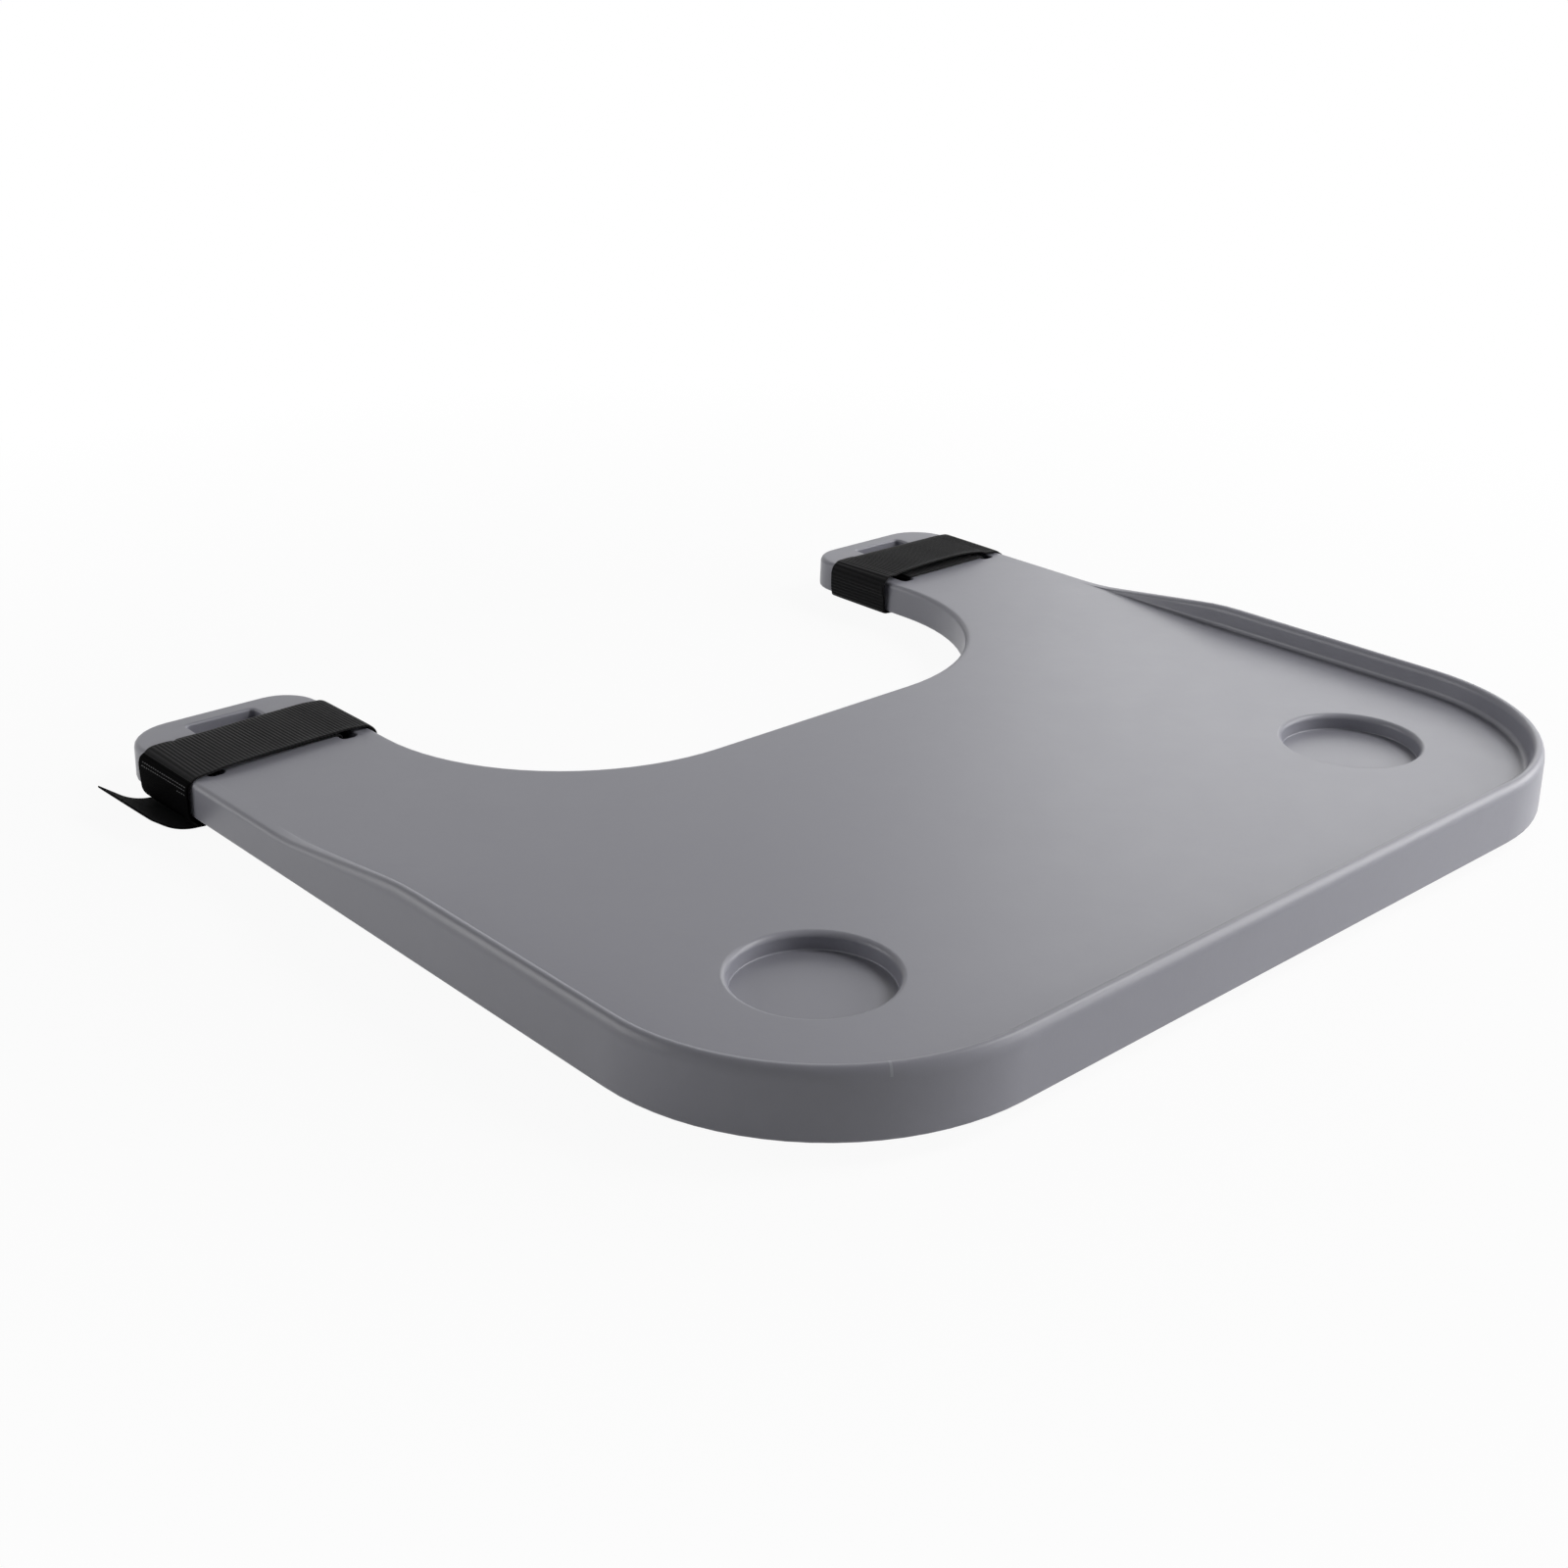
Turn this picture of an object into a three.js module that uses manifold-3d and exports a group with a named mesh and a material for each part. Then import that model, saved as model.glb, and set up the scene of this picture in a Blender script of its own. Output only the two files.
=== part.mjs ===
// Wheelchair tray table: a grey moulded tray with a rim, a belly cut-out, two cup recesses and two arms,
// held on the armrests by ribbed webbing straps that close on themselves with hook and loop tape.
// Millimetres, +Z up. X runs across the chair, -Y is the far edge of the table and +Y the user's side.
// The origin lies under the middle of the part, at its lowest point.

import * as THREE from "three";
import { mergeVertices } from "three/addons/utils/BufferGeometryUtils.js";
import Module from "manifold-3d";

const wasm = await Module();
wasm.setup();

// Outline of the tray
const trayWidth = 600;
const trayDepth = 540;
const frontCornerRadius = 118;
const armWidth = 107.2;
const armTipOuterRadius = 28;
const armTipInnerRadius = 23;
const bellyDepth = 218; // from the arm tips to the flat of the cut-out
const bellyCornerRadius = 121.5;

// Section of the tray
const tableHeight = 19.5; // table face above the underside
const tableThickness = 3.2;
const wallThickness = 3.2;
const wallDraft = 0.4; // how far the outer wall leans in, from foot to top
const undersideRadius = 1.2;
const edgeFillet = 3; // along the arms and the cut-out, which have no rim
const rimHeight = 13.1; // rim crown above the table face
const rimWidth = 7.2;
const rimCrownInset = 3.9; // from the tray's outer face to the top of the rounded crown
const rimOuterFall = 6.5; // height of the crown's rounding, outside and inside
const rimInnerFall = 4;
const rimFootRadius = 2.5;
const rampFootFromTips = 158; // where the rim starts to rise on each side
const rampLength = 126;
const rampBlendShare = 0.22;

// Stiffening ribs under the table
const ribThickness = 2.4;
const ribPitchAcross = 59.6;
const ribPitchAlong = 60;

// Cup recesses
const cupRadius = 39.75; // at the table face
const cupEdgeFillet = 3;
const cupFloorFillet = 0.6;
const cupDepth = 8.7;
const cupFromSide = 102.4;
const cupFromFront = 106.8;

// Strap slots, two in each arm, and the pocket at the tip of each arm
const slotMargin = 11.6; // from each slot to the nearer side of the arm
const slotWidth = 8;
const slotLength = 55;
const slotFromTip = 28; // from the arm's tip to the slots' far end
const slotCornerRadius = 2;
const slotEdgeRadius = 1.5;
const pocketWidth = 40;
const pocketLength = 18;
const pocketDepth = 8;
const pocketFromTip = 12.8;
const pocketCornerRadius = 3;
const pocketEdgeRadius = 1.5;

// Straps
const webbingWidth = 49;
const webbingThickness = 1.3;
const tapeWidth = 49;
const tapeThickness = 1.1;
const clearance = 0.3; // between pieces that touch
const strapDrop = 9.1; // how far the strap hangs below the tray
const seamFromSlot = 5; // from the middle of the outer slot to the loop tape's seam
const seamToTurn = 6.5; // from that seam back to the turn up into the slot
const turnBend = 3;
const webbingEndHeight = 12.5; // webbing's sewn end on the outer side, above the underside
const hookTapeLap = 7.5; // how far the hook tape reaches back over the arm's top
const hookTapeTuck = 5; // hook tape's end, pressed flat on the loop tape
const hookTapeLean = 5.5; // how far the hook tape comes in under the arm's edge
const hookTapeBend = 8; // soft bend at the underside, where it starts to come in
const tailRise = 1.5; // rise of the loop tape's flat stretch
const tailFlat = 17; // length of that stretch, from the seam
const tailReach = 17.7; // from the end of the flat stretch to the tail's tip, across
const tailLift = 13.4; // rise of that stretch
const tailCurlRadius = 32;
const tailEndSkew = 6.4; // how much shorter the tail is along its near edge
const topBend = 30; // soft bend where the outer layer climbs over the inner one

// Where the near edge of each strap lies along its run, from the slots' near end
const leftLie = { slots: 4.4, innerSide: 3.4, outerSide: 0, tuck: 2, tail: 4.5 };
const rightLie = { slots: 1.6, innerSide: 4.2, outerSide: 3, tuck: 2, tail: 1.6 };

// Overrun of every cutter past the face it cuts
const cutOverrun = 2;

// Facets of the curves
const frontCornerSteps = 20;
const bellyCornerSteps = 20;
const armTipSteps = 8;
const rampSteps = 12;
const outerFilletSteps = 6;
const crownSteps = 4;
const smallFilletSteps = 3;
const cupSteps = 40;
const bendSteps = 6;

const halfWidth = trayWidth / 2;
const halfDepth = trayDepth / 2;
const armMiddle = halfWidth - armWidth / 2;
const armHalf = armWidth / 2;
const slotMiddle = armHalf - slotMargin - slotWidth / 2;
const slotFarEnd = halfDepth - slotFromTip;
const slotNearEnd = slotFarEnd - slotLength;
const cupFloorRadius = cupRadius - cupEdgeFillet;
const trayUnderside = strapDrop;

// Points of an oval arc, in a plane, from one angle to another
function ovalPoints(cx, cy, reach, rise, from, to, steps) {
  return Array.from({ length: steps + 1 }, (_, i) => {
    const angle = THREE.MathUtils.lerp(from, to, i / steps);
    return [cx + reach * Math.cos(angle), cy + rise * Math.sin(angle)];
  });
}

// Points of a round arc
function arcPoints(cx, cy, radius, from, to, steps) {
  return ovalPoints(cx, cy, radius, radius, from, to, steps);
}

// Share of the full rim height at a distance past the ramp's foot, with a soft start and end
function rampShare(distance) {
  const along = THREE.MathUtils.clamp(distance / rampLength, 0, 1);
  const spread = 2 * rampBlendShare * (1 - rampBlendShare);
  if (along < rampBlendShare) return along ** 2 / spread;
  if (along > 1 - rampBlendShare) return 1 - (1 - along) ** 2 / spread;
  return (along - rampBlendShare / 2) / (1 - rampBlendShare);
}

// One point of the tray's outline: its place, the way out of the material and the rim's share there
function station(x, y, nx, ny, rim) {
  return { x, y, nx, ny, rim };
}

// Stations round an arc; turn is 1 where the arc bulges out and -1 where it cuts in
function arcStations(cx, cy, radius, from, to, steps, turn, rim) {
  return arcPoints(0, 0, 1, from, to, steps).map(([c, s]) =>
    station(cx + radius * c, cy + radius * s, turn * c, turn * s, rim),
  );
}

// Outline of the tray, anticlockwise: the right half, then the same half mirrored
function trayOutline() {
  const quarter = Math.PI / 2;
  const frontX = halfWidth - frontCornerRadius;
  const frontY = frontCornerRadius - halfDepth;
  const outerTipX = halfWidth - armTipOuterRadius;
  const outerTipY = halfDepth - armTipOuterRadius;
  const armInner = halfWidth - armWidth;
  const innerTipX = armInner + armTipInnerRadius;
  const innerTipY = halfDepth - armTipInnerRadius;
  const bellyX = armInner - bellyCornerRadius;
  const bellyY = halfDepth - bellyDepth + bellyCornerRadius;
  const rampFootY = halfDepth - rampFootFromTips;
  const ramp = Array.from({ length: rampSteps + 1 }, (_, i) => {
    const distance = rampLength * (1 - i / rampSteps);
    return station(halfWidth, rampFootY - distance, 1, 0, rampShare(distance));
  });
  const half = [
    ...arcStations(frontX, frontY, frontCornerRadius, -quarter, 0, frontCornerSteps, 1, 1),
    ...ramp,
    ...arcStations(outerTipX, outerTipY, armTipOuterRadius, 0, quarter, armTipSteps, 1, 0),
    ...arcStations(innerTipX, innerTipY, armTipInnerRadius, quarter, 2 * quarter, armTipSteps, 1, 0),
    ...arcStations(bellyX, bellyY, bellyCornerRadius, 0, -quarter, bellyCornerSteps, -1, 0),
  ];
  const mirrored = half.map((s) => station(-s.x, s.y, -s.nx, s.ny, s.rim)).reverse();
  return [...half, ...mirrored];
}

// Ring of the outline, set in from it by a distance, at a height
function outlineRing(outline, inset, z) {
  return outline.map((s) => new THREE.Vector3(s.x - s.nx * inset, s.y - s.ny * inset, z));
}

// Section of the edge where the rim is full, and where there is none, point for point: [inset, height]
function edgeSections() {
  const quarter = Math.PI / 2;
  const half = Math.PI;
  const crown = tableHeight + rimHeight;
  const foot = arcPoints(
    undersideRadius,
    undersideRadius,
    undersideRadius,
    -quarter,
    -half,
    smallFilletSteps,
  );
  const edge = arcPoints(
    wallDraft + edgeFillet,
    tableHeight - edgeFillet,
    edgeFillet,
    half,
    quarter,
    outerFilletSteps,
  );
  const outer = ovalPoints(
    rimCrownInset,
    crown - rimOuterFall,
    rimCrownInset - wallDraft,
    rimOuterFall,
    half,
    quarter,
    outerFilletSteps,
  );
  const inner = ovalPoints(
    rimCrownInset,
    crown - rimInnerFall,
    rimWidth - rimCrownInset,
    rimInnerFall,
    quarter,
    0,
    crownSteps,
  );
  const rimFoot = arcPoints(
    rimWidth + wallDraft + rimFootRadius,
    tableHeight + rimFootRadius,
    rimFootRadius,
    half,
    half + quarter,
    smallFilletSteps,
  );
  const inside = [...inner.slice(1), ...rimFoot];
  return {
    full: [...foot, ...outer, ...inside],
    flat: [...foot, ...edge, ...inside.map(([inset]) => [inset, tableHeight])],
  };
}

// Closed geometry through rings of equal count, with both ends capped
function loft(rings) {
  const count = rings[0].length;
  const position = rings.flat().flatMap((p) => [p.x, p.y, p.z]);
  const index = [];
  for (let r = 0; r < rings.length - 1; r += 1) {
    for (let i = 0; i < count; i += 1) {
      const a = r * count + i;
      const b = r * count + ((i + 1) % count);
      index.push(a, b, b + count, a, b + count, a + count);
    }
  }
  const capFaces = (ring) => {
    const flat = ring.map((p) => new THREE.Vector2(p.x, p.y));
    return THREE.ShapeUtils.triangulateShape(flat, []);
  };
  const last = (rings.length - 1) * count;
  for (const [a, b, c] of capFaces(rings[0])) index.push(a, c, b);
  for (const [a, b, c] of capFaces(rings[rings.length - 1])) index.push(last + a, last + b, last + c);
  const geometry = new THREE.BufferGeometry();
  geometry.setAttribute("position", new THREE.Float32BufferAttribute(position, 3));
  geometry.setIndex(index);
  return geometry;
}

// Solid of a closed geometry, ready to be joined or cut
function solid(geometry) {
  const bare = geometry.clone();
  bare.deleteAttribute("normal");
  bare.deleteAttribute("uv");
  const merged = mergeVertices(bare);
  const mesh = new wasm.Mesh({
    numProp: 3,
    vertProperties: new Float32Array(merged.getAttribute("position").array),
    triVerts: new Uint32Array(merged.getIndex().array),
  });
  return new wasm.Manifold(mesh);
}

// Geometry of a solid
function geometryOf(manifold) {
  const mesh = manifold.getMesh();
  const geometry = new THREE.BufferGeometry();
  geometry.setAttribute("position", new THREE.Float32BufferAttribute(mesh.vertProperties, 3));
  geometry.setIndex(new THREE.Uint32BufferAttribute(mesh.triVerts, 1));
  return geometry;
}

// Block between two corners
function block(x0, x1, y0, y1, z0, z1) {
  const geometry = new THREE.BoxGeometry(x1 - x0, y1 - y0, z1 - z0);
  geometry.translate((x0 + x1) / 2, (y0 + y1) / 2, (z0 + z1) / 2);
  return solid(geometry);
}

// Ring of a rectangle with round corners, grown by a margin, at a height
function roundedRing(cx, cy, width, length, corner, margin, z) {
  const quarter = Math.PI / 2;
  const dx = width / 2 - corner;
  const dy = length / 2 - corner;
  const corners = [
    [dx, dy],
    [-dx, dy],
    [-dx, -dy],
    [dx, -dy],
  ];
  return corners.flatMap(([x, y], i) =>
    arcPoints(cx + x, cy + y, corner + margin, i * quarter, (i + 1) * quarter, smallFilletSteps).map(
      ([px, py]) => new THREE.Vector3(px, py, z),
    ),
  );
}

// Cutter for a hole with round corners and rounded edges, from a floor or right through
function holeCutter(cx, cy, width, length, corner, edge, bottom, isThrough) {
  const quarter = Math.PI / 2;
  const ring = (margin, z) => roundedRing(cx, cy, width, length, corner, margin, z);
  const flare = (zEdge, up) =>
    arcPoints(0, 0, edge, 0, quarter, smallFilletSteps).map(([c, s]) => [edge - c, zEdge + up * (s - edge)]);
  const top = flare(tableHeight, 1).map(([margin, z]) => ring(margin, z));
  const low = flare(bottom, -1)
    .map(([margin, z]) => ring(margin, z))
    .reverse();
  const start = isThrough ? [ring(edge, bottom - cutOverrun), ...low] : [ring(0, bottom)];
  return solid(loft([...start, ...top, ring(edge, tableHeight + cutOverrun)]));
}

// Cutter for a cup recess: a turned profile with a rounded mouth and floor corner
function cupCutter(cx, cy) {
  const quarter = Math.PI / 2;
  const floor = tableHeight - cupDepth;
  const profile = [
    [0, floor],
    ...arcPoints(
      cupFloorRadius - cupFloorFillet,
      floor + cupFloorFillet,
      cupFloorFillet,
      -quarter,
      0,
      smallFilletSteps,
    ),
    ...arcPoints(cupRadius, tableHeight - cupEdgeFillet, cupEdgeFillet, Math.PI, quarter, crownSteps),
    [cupRadius, tableHeight + cutOverrun],
    [0, tableHeight + cutOverrun],
  ].map(([radius, z]) => new THREE.Vector2(radius, z));
  const geometry = new THREE.LatheGeometry(profile, cupSteps);
  geometry.rotateX(quarter);
  geometry.translate(cx, cy, 0);
  return solid(geometry);
}

// Plain upright cylinder
function post(cx, cy, radius, bottom, top) {
  const geometry = new THREE.CylinderGeometry(radius, radius, top - bottom, cupSteps);
  geometry.rotateX(Math.PI / 2);
  geometry.translate(cx, cy, (bottom + top) / 2);
  return solid(geometry);
}

// Hollow under the table, less the ribs, the cup bottoms and the walls round the slots and pockets
function underCavity(outline, slots, pockets, cups) {
  const ceiling = tableHeight - tableThickness;
  const inset = wallDraft + wallThickness;
  let cavity = solid(loft([outlineRing(outline, inset, -cutOverrun), outlineRing(outline, inset, ceiling)]));
  const low = -cutOverrun - clearance;
  const ribHalf = ribThickness / 2;
  const across = Math.floor(halfWidth / ribPitchAcross);
  for (let i = -across; i <= across; i += 1) {
    const x = i * ribPitchAcross;
    cavity = cavity.subtract(block(x - ribHalf, x + ribHalf, -halfDepth, halfDepth, low, tableHeight));
  }
  for (let y = ribPitchAlong - halfDepth; y < halfDepth; y += ribPitchAlong) {
    cavity = cavity.subtract(block(-halfWidth, halfWidth, y - ribHalf, y + ribHalf, low, tableHeight));
  }
  for (const [x, y] of cups) {
    const cupBottom = tableHeight - cupDepth - tableThickness;
    cavity = cavity.subtract(post(x, y, cupRadius + tableThickness, cupBottom, tableHeight));
  }
  const casing = (x, y, width, length, corner, bottom) =>
    solid(
      loft([
        roundedRing(x, y, width, length, corner, ribThickness, bottom),
        roundedRing(x, y, width, length, corner, ribThickness, tableHeight),
      ]),
    );
  for (const [x, y] of slots) {
    cavity = cavity.subtract(casing(x, y, slotWidth, slotLength, slotCornerRadius, low));
  }
  for (const [x, y] of pockets) {
    const pocketBottom = tableHeight - pocketDepth - ribThickness;
    cavity = cavity.subtract(casing(x, y, pocketWidth, pocketLength, pocketCornerRadius, pocketBottom));
  }
  return cavity;
}

// The tray: edge section lofted round the outline, hollow below, with its recesses and slots
function trayGeometry() {
  const outline = trayOutline();
  const { full, flat } = edgeSections();
  const rings = full.map(([fullInset, fullZ], i) => {
    const [flatInset, flatZ] = flat[i];
    return outline.map((s) => {
      const inset = THREE.MathUtils.lerp(flatInset, fullInset, s.rim);
      const z = THREE.MathUtils.lerp(flatZ, fullZ, s.rim);
      return new THREE.Vector3(s.x - s.nx * inset, s.y - s.ny * inset, z);
    });
  });
  const sides = [-1, 1];
  const slotY = slotFarEnd - slotLength / 2;
  const slots = sides.flatMap((side) => sides.map((end) => [side * armMiddle + end * slotMiddle, slotY]));
  const pockets = sides.map((side) => [side * armMiddle, halfDepth - pocketFromTip - pocketLength / 2]);
  const cups = sides.map((side) => [side * (halfWidth - cupFromSide), cupFromFront - halfDepth]);
  let tray = solid(loft(rings)).subtract(underCavity(outline, slots, pockets, cups));
  for (const [x, y] of cups) tray = tray.subtract(cupCutter(x, y));
  for (const [x, y] of slots) {
    tray = tray.subtract(holeCutter(x, y, slotWidth, slotLength, slotCornerRadius, slotEdgeRadius, 0, true));
  }
  for (const [x, y] of pockets) {
    const floor = tableHeight - pocketDepth;
    tray = tray.subtract(
      holeCutter(x, y, pocketWidth, pocketLength, pocketCornerRadius, pocketEdgeRadius, floor, false),
    );
  }
  return geometryOf(tray);
}

// Route of a strap seen along Y: straight runs between corners, each corner rounded to its own bend.
// A corner is [out, z, bend, lie]: out from the arm's middle, z from the underside, lie along Y.
function roundedRoute(corners) {
  const route = [];
  corners.forEach(([out, z, bend, lie], i) => {
    if (i === 0 || i === corners.length - 1) {
      route.push({ out, z, lie });
      return;
    }
    const here = new THREE.Vector2(out, z);
    const back = new THREE.Vector2(corners[i - 1][0], corners[i - 1][1]).sub(here).normalize();
    const ahead = new THREE.Vector2(corners[i + 1][0], corners[i + 1][1]).sub(here).normalize();
    const opening = Math.acos(THREE.MathUtils.clamp(back.dot(ahead), -1, 1));
    const centre = back.clone().add(ahead).normalize().multiplyScalar(bend / Math.sin(opening / 2)).add(here);
    const first = back.clone().multiplyScalar(bend / Math.tan(opening / 2)).add(here).sub(centre);
    const last = ahead.clone().multiplyScalar(bend / Math.tan(opening / 2)).add(here).sub(centre);
    const turn = Math.sign(first.cross(last)) * (Math.PI - opening);
    for (let k = 0; k <= bendSteps; k += 1) {
      const point = first.clone().rotateAround(new THREE.Vector2(), (turn * k) / bendSteps).add(centre);
      route.push({ out: point.x, z: point.y, lie });
    }
  });
  return route;
}

// Point of a route at a length along it
function pointAt(route, lengths, length) {
  let i = 1;
  while (i < route.length - 1 && lengths[i] < length) i += 1;
  const share = (length - lengths[i - 1]) / (lengths[i] - lengths[i - 1]);
  const mix = (key) => THREE.MathUtils.lerp(route[i - 1][key], route[i][key], share);
  return { out: mix("out"), z: mix("z"), lie: mix("lie") };
}

// Flat strap laid along a route on one arm; its near edge can be cut shorter than its far edge by a skew
function strapGeometry(corners, side, width, thickness, skew) {
  const route = roundedRoute(corners);
  const lengths = [0];
  for (let i = 1; i < route.length; i += 1) {
    const step = Math.hypot(route[i].out - route[i - 1].out, route[i].z - route[i - 1].z);
    lengths.push(lengths[i - 1] + step);
  }
  const total = lengths[lengths.length - 1];
  const edge = (shorter) => {
    const points = lengths.map((length) => pointAt(route, lengths, (length * (total - shorter)) / total));
    return points.map((p, i) => {
      const before = points[Math.max(i - 1, 0)];
      const after = points[Math.min(i + 1, points.length - 1)];
      const along = new THREE.Vector2(after.out - before.out, after.z - before.z).normalize();
      return { ...p, nOut: -along.y, nZ: along.x };
    });
  };
  const near = edge(skew);
  const far = edge(0);
  const vertex = (p, reach, across) =>
    new THREE.Vector3(
      side * (armMiddle + p.out + (p.nOut * reach * thickness) / 2),
      slotNearEnd + p.lie + across,
      p.z + (p.nZ * reach * thickness) / 2,
    );
  const rings = near.map((p, i) => [
    vertex(p, 1, 0),
    vertex(p, -1, 0),
    vertex(far[i], -1, width),
    vertex(far[i], 1, width),
  ]);
  return closedStrip(rings, side);
}

// Closed geometry through rings of four corners, with square ends
function closedStrip(rings, side) {
  const position = rings.flat().flatMap((p) => [p.x, p.y, p.z]);
  const faces = [];
  for (let r = 0; r < rings.length - 1; r += 1) {
    for (let i = 0; i < 4; i += 1) {
      const a = 4 * r + i;
      const b = 4 * r + ((i + 1) % 4);
      faces.push([a, b, b + 4], [a, b + 4, a + 4]);
    }
  }
  const last = 4 * (rings.length - 1);
  faces.push([0, 2, 1], [0, 3, 2]);
  faces.push([last, last + 1, last + 2], [last, last + 2, last + 3]);
  const index = faces.flatMap(([a, b, c]) => (side > 0 ? [a, b, c] : [a, c, b]));
  const geometry = new THREE.BufferGeometry();
  geometry.setAttribute("position", new THREE.Float32BufferAttribute(position, 3));
  geometry.setIndex(index);
  return geometry;
}

// Heights and places that the strap's pieces share
const webbingLay = clearance + webbingThickness / 2; // webbing's middle off the face that it lies on
const sideLay = armHalf + webbingLay;
const slotInner = slotMiddle - slotWidth / 2;
const slotOuter = slotMiddle + slotWidth / 2;
const innerLayer = tableHeight + webbingLay;
const outerLayer = innerLayer + webbingThickness + clearance;
const seamOut = slotMiddle + seamFromSlot;
const turnOut = seamOut - seamToTurn;
const slotBend = slotEdgeRadius + webbingLay;
const tapeOnWebbing = (webbingThickness + tapeThickness) / 2 + clearance;

// Webbing: from its seam with the loop tape up the outer slot, across the arm, down the inner slot,
// round the inner side, over the top and down to its sewn end on the outer side
function webbingRoute(lie) {
  const drop = webbingThickness / 2 - strapDrop;
  return [
    [seamOut, drop, 0, lie.tail],
    [turnOut, drop, turnBend, lie.slots],
    [slotInner + webbingLay, innerLayer, slotBend, lie.slots],
    [-slotInner - webbingLay, innerLayer, slotBend, lie.slots],
    [webbingLay - slotOuter, -webbingLay, slotBend, lie.slots],
    [-sideLay, -webbingLay, undersideRadius + webbingLay, lie.innerSide],
    [-sideLay, innerLayer, edgeFillet + webbingLay, lie.innerSide],
    [-slotMiddle, outerLayer, topBend, lie.innerSide],
    [slotMiddle, outerLayer, topBend, lie.outerSide],
    [sideLay, innerLayer, edgeFillet + webbingLay, lie.outerSide],
    [sideLay, webbingEndHeight, 0, lie.outerSide],
  ];
}

// Hook tape: lapped over the webbing's end, down the outer side and in under the arm's edge
function hookTapeRoute(lie) {
  const tapeSide = sideLay + tapeOnWebbing;
  const tapeTop = innerLayer + tapeOnWebbing;
  const slope = (outerLayer - innerLayer) / (sideLay - slotMiddle);
  const tuckZ = tapeThickness + tapeThickness / 2 + clearance - strapDrop;
  const tuckOut = tapeSide - hookTapeLean;
  const rise = tailRise / tailFlat;
  return [
    [tapeSide - hookTapeLap, tapeTop + hookTapeLap * slope, 0, lie.outerSide],
    [tapeSide, tapeTop, edgeFillet + webbingLay + tapeOnWebbing, lie.outerSide],
    [tapeSide, 0, hookTapeBend, lie.outerSide],
    [tuckOut, tuckZ + (tuckOut - seamOut) * rise, tapeThickness, lie.tuck],
    [tuckOut - hookTapeTuck, tuckZ + (tuckOut - hookTapeTuck - seamOut) * rise, 0, lie.tuck],
  ];
}

// Loop tape: the free tail, out from its seam below the outer slot and curled up at its end
function loopTapeRoute(lie) {
  const start = tapeThickness / 2 - strapDrop;
  const tailOut = seamOut + tailFlat;
  return [
    [seamOut + clearance, start, 0, lie.tail],
    [tailOut, start + tailRise, tailCurlRadius, lie.tail],
    [tailOut + tailReach, start + tailRise + tailLift, 0, lie.tail],
  ];
}

const trayPlastic = new THREE.MeshStandardMaterial({ color: 0x8f9096, roughness: 0.5, metalness: 0 });
const webbingFabric = new THREE.MeshStandardMaterial({ color: 0x26262a, roughness: 0.85, metalness: 0 });
const hookFabric = new THREE.MeshStandardMaterial({ color: 0x17171a, roughness: 0.8, metalness: 0 });
const loopFabric = new THREE.MeshStandardMaterial({ color: 0x141417, roughness: 0.95, metalness: 0 });

// Named mesh with its normals
function piece(name, geometry, material) {
  geometry.computeVertexNormals();
  const mesh = new THREE.Mesh(geometry, material);
  mesh.name = name;
  return mesh;
}

// One strap: webbing, hook tape and loop tape
function strap(name, side, lie) {
  const group = new THREE.Group();
  const webbing = strapGeometry(webbingRoute(lie), side, webbingWidth, webbingThickness, 0);
  const hookTape = strapGeometry(hookTapeRoute(lie), side, tapeWidth, tapeThickness, 0);
  const loopTape = strapGeometry(loopTapeRoute(lie), side, tapeWidth, tapeThickness, tailEndSkew);
  group.add(piece(`${name}_strap_webbing`, webbing, webbingFabric));
  group.add(piece(`${name}_hook_tape`, hookTape, hookFabric));
  group.add(piece(`${name}_loop_tape`, loopTape, loopFabric));
  return group;
}

const trayTable = new THREE.Group();
trayTable.position.z = trayUnderside;
trayTable.add(piece("tray_moulding", trayGeometry(), trayPlastic));
trayTable.add(strap("left", -1, leftLie));
trayTable.add(strap("right", 1, rightLie));

export default trayTable;
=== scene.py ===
"""Wheelchair tray table: the looks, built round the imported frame.

Metres and +Z up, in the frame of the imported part. X runs across the chair, -Y is the far edge of the
table and +Y the user's side. The grey tray is one smooth moulding. Each strap is a ribbed webbing, a
hook tape sewn to its end and a loop tape that forms the free tail.
"""

import logging
import math
from dataclasses import dataclass, field
from enum import Enum

import bmesh
import bpy
import numpy as np
from mathutils import Matrix, Vector


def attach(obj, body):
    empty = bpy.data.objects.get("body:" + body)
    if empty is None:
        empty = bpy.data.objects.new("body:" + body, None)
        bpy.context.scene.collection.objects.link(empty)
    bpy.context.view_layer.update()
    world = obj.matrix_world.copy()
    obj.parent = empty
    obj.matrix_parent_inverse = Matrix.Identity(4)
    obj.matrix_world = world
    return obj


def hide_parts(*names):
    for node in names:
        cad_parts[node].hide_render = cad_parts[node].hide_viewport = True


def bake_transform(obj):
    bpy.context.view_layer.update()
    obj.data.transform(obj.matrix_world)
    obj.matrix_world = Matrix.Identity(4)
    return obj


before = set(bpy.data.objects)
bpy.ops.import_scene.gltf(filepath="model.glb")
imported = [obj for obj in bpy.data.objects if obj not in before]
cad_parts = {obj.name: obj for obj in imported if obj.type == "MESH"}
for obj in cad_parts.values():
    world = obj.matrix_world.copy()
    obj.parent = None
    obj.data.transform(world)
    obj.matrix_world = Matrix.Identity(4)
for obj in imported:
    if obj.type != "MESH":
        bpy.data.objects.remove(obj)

MM = 0.001
PHOTO_SIDE = 1600
SAME_PLACE = 2e-6
NUDGE = 1e-9
log = logging.getLogger("tray_table")

Point = tuple[float, float, float]
Colour = tuple[float, float, float]
Socket = bpy.types.NodeSocket
Material = bpy.types.Material
Object = bpy.types.Object


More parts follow.
